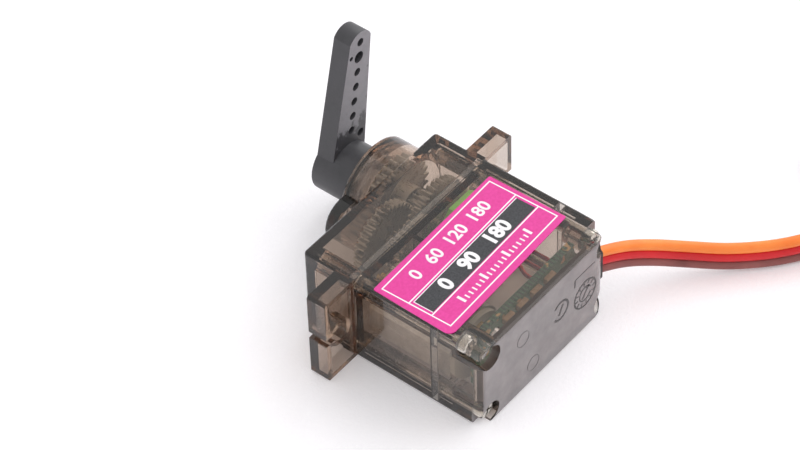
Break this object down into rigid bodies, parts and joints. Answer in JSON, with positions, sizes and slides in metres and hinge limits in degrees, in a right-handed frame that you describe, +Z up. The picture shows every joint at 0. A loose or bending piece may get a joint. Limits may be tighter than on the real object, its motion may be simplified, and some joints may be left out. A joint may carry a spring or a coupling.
{
  "type": "hobby servo motor",
  "caption": "Micro servo motor in a see-through smoke case, with ears, metal gears, single-arm horn and three-wire lead.",
  "frame": {"origin": "middle of the body's length, in the plane where the mounting ears seat, on the resting face", "axes": "+X along the body towards the output shaft and the lead, +Y along the output shaft out of the tower, +Z up, out of the label side"},
  "size_m": [0.0657, 0.0732, 0.0244],
  "materials": {
    "smoke_plastic": "smoke brown, see-through, polished",
    "nickel_steel": "nickel plated",
    "label_print": "glossy printed film",
    "pale_nylon": "moulded",
    "bronze": "sintered bronze",
    "ferrite": "dark ferrite",
    "brass": "bright",
    "bearing_steel": "ground and polished",
    "gear_metal": "machined, lightly greased",
    "green_plastic": "moulded",
    "phenolic": "phenolic board",
    "board": "solder mask over glass fibre",
    "chip_black": "moulded epoxy",
    "component_tan": "ceramic",
    "solder": "bright tin",
    "wire_red": "flexible PVC",
    "rubber": "soft",
    "wire_orange": "flexible PVC",
    "wire_brown": "flexible PVC",
    "tie_black": "smooth",
    "plug_black": "moulded",
    "nylon_black": "moulded nylon, satin",
    "lamination": "stacked sheet",
    "copper": "enamelled copper"
  },
  "bodies": {
    "case": {"bottom_cover": "smoke_plastic", "middle_case": "smoke_plastic", "gearbox_cover": "smoke_plastic", "case_screws": "nickel_steel", "label": "label_print", "motor_can": "nickel_steel", "motor_end_cap": "pale_nylon", "motor_bushes": "bronze", "motor_magnets": "ferrite", "motor_terminals": "brass", "motor_brushes": "brass", "gear_pin": "nickel_steel", "spacer_washers": "nickel_steel", "bearing_outer_ring": "bearing_steel", "pot_housing": "green_plastic", "pot_base": "phenolic", "pot_terminals": "nickel_steel", "circuit_board": "board", "control_chip": "chip_black", "small_components": "component_tan", "solder_joints": "solder", "pot_wires": "wire_red", "lead_ends": "wire_red", "cable_grommet": "rubber", "signal_wire": "wire_orange", "power_wire": "wire_red", "ground_wire": "wire_brown", "lead_coil": "wire_red", "coil_tie": "tie_black", "plug_housing": "plug_black", "plug_contacts": "brass"},
    "output": {"output_gear": "gear_metal", "bearing_inner_ring": "bearing_steel", "pot_shaft": "bearing_steel", "pot_wiper": "brass", "horn": "nylon_black", "horn_screw": "nickel_steel"},
    "bearing_cage": {"ball_cage": "brass", "bearing_balls": "bearing_steel"},
    "third_stage": {"third_gear": "gear_metal"},
    "second_stage": {"second_gear": "gear_metal"},
    "first_stage": {"first_gear": "gear_metal"},
    "rotor": {"motor_shaft": "nickel_steel", "armature_core": "lamination", "armature_windings": "copper", "commutator": "copper", "motor_pinion": "brass"}
  },
  "joints": [
    {"name": "output_turn", "type": "hinge", "parent": "case", "child": "output", "pos_m": [0.0055, 0.0079, 0.006], "axis": [0, 1, 0], "range_deg": [-100, 80]},
    {"name": "bearing_cage_turn", "type": "hinge", "parent": "case", "child": "bearing_cage", "pos_m": [0.0055, 0.0102, 0.006], "axis": [0, 1, 0], "range_deg": [-46, 37]},
    {"name": "third_gear_turn", "type": "hinge", "parent": "case", "child": "third_stage", "pos_m": [-0.00063, 0.0062, 0.006], "axis": [0, 1, 0], "range_deg": [-202, 252]},
    {"name": "second_gear_turn", "type": "hinge", "parent": "case", "child": "second_stage", "pos_m": [0.0055, 0.0036, 0.006], "axis": [0, 1, 0], "range_deg": [-700, 560]},
    {"name": "first_gear_turn", "type": "hinge", "parent": "case", "child": "first_stage", "pos_m": [-0.00063, 0.002, 0.006], "axis": [0, 1, 0], "range_deg": [-1550, 1930]},
    {"name": "motor_turn", "type": "hinge", "parent": "case", "child": "rotor", "pos_m": [-0.00625, -0.006, 0.006], "axis": [0, 1, 0], "range_deg": [-7700, 6200]}
  ],
  "couplings": [
    {"joint": "bearing_cage_turn", "follows": "output_turn", "ratio": 0.44375},
    {"joint": "third_gear_turn", "follows": "output_turn", "ratio": -2.5},
    {"joint": "second_gear_turn", "follows": "output_turn", "ratio": 6.9231},
    {"joint": "first_gear_turn", "follows": "output_turn", "ratio": -19.172},
    {"joint": "motor_turn", "follows": "output_turn", "ratio": 76.686}
  ]
}
